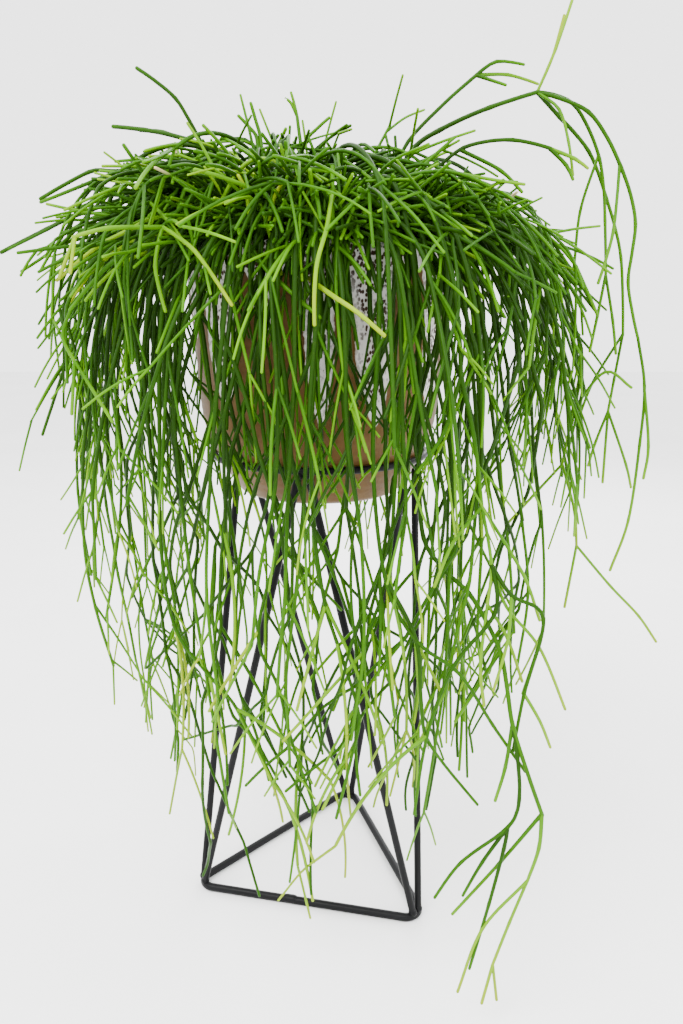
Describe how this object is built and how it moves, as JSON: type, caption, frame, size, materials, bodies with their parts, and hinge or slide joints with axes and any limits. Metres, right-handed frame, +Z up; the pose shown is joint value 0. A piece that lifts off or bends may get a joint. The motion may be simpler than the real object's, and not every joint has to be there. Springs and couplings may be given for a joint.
{
  "type": "potted mistletoe cactus",
  "caption": "Trailing mistletoe cactus with thin forking green stems in a glazed clay pot, carried in the ring of a black wire plant stand.",
  "frame": {"origin": "on the floor, under the middle of the whole object's box", "axes": "+Z up, +Y away from the side that the picture shows, +X to its right"},
  "size_m": [0.6056, 0.5136, 0.8665],
  "materials": {
    "stand_wire": "satin",
    "pot_clay": "satin",
    "potting_mix": "matte",
    "stem": "satin"
  },
  "bodies": {
    "root": {"stand_base": "stand_wire", "stand_ring": "stand_wire", "stand_rod_right_a": "stand_wire", "stand_rod_right_b": "stand_wire", "stand_rod_back_a": "stand_wire", "stand_rod_back_b": "stand_wire", "stand_rod_left_a": "stand_wire", "stand_rod_left_b": "stand_wire", "pot": "pot_clay", "soil": "potting_mix", "spray_centre": "stem", "spray_inner_1": "stem", "spray_inner_2": "stem", "spray_inner_3": "stem", "spray_inner_4": "stem", "spray_inner_5": "stem", "spray_inner_6": "stem", "spray_inner_7": "stem", "spray_outer_1": "stem", "spray_outer_2": "stem", "spray_outer_3": "stem", "spray_outer_4": "stem", "spray_outer_5": "stem", "spray_outer_6": "stem", "spray_outer_7": "stem", "spray_outer_8": "stem", "spray_outer_9": "stem", "spray_outer_10": "stem", "spray_outer_11": "stem", "spray_outer_12": "stem", "spray_outer_13": "stem", "spray_outer_14": "stem"}
  },
  "joints": []
}
